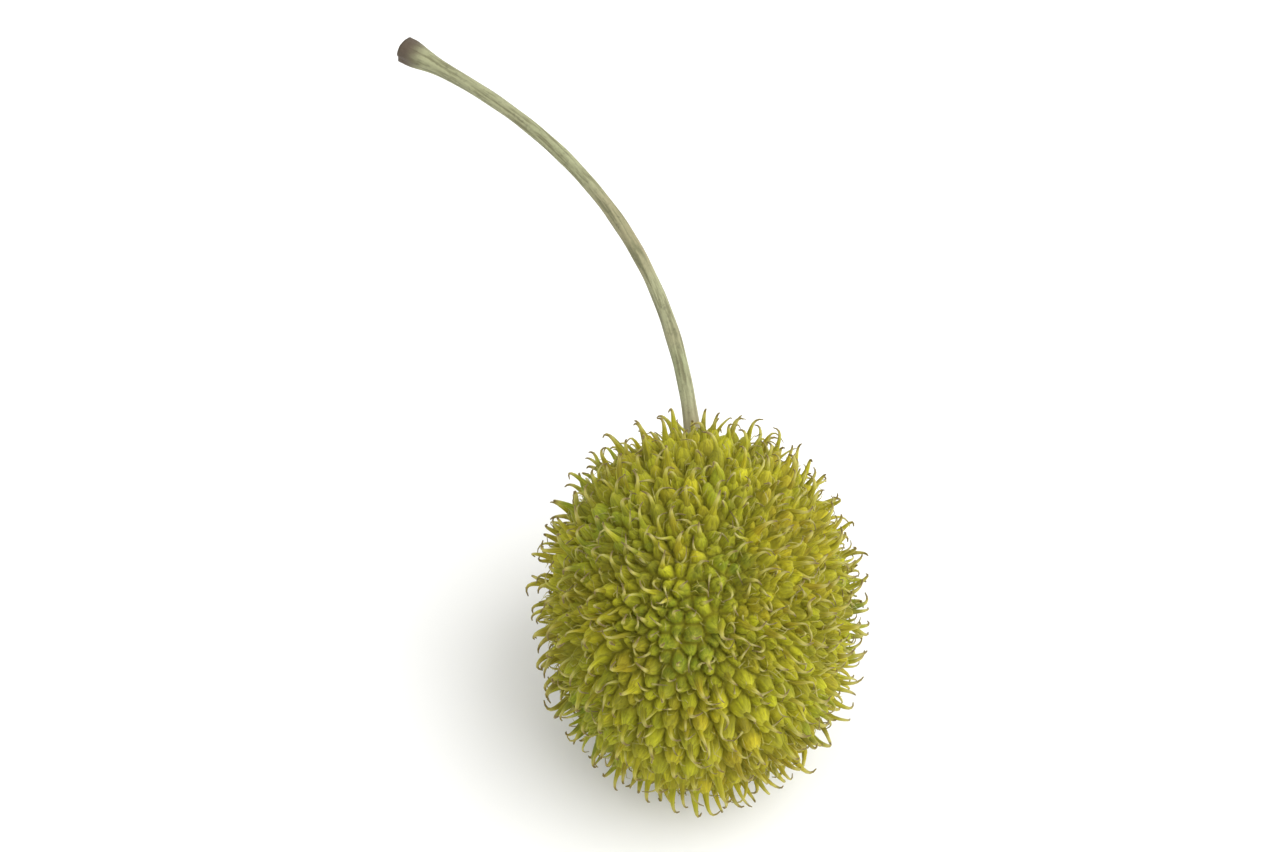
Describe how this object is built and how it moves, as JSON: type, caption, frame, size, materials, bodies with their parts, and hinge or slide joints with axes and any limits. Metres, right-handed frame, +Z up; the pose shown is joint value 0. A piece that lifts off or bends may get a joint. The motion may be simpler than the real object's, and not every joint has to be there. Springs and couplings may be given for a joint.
{
  "type": "plane tree seed ball",
  "caption": "Round seed head of a plane tree, packed with achenes that carry hooked styles, on a slender bent stalk.",
  "frame": {"origin": "the point of the surface under the ball's centre, on the pressed flat face of the lowest style", "axes": "+Y is the long way of the part, from the ball towards the stalk's far end; +Z up; the stalk bends round to -X"},
  "size_m": [0.0406, 0.0674, 0.0302],
  "materials": {
    "achenes": "dry, matt and fibrous, olive green with ochre and green patches",
    "stalk": "dry, matt, grey-green with browner stretches"
  },
  "bodies": {
    "root": {"seed_head": "achenes", "stem": "stalk"}
  },
  "joints": []
}
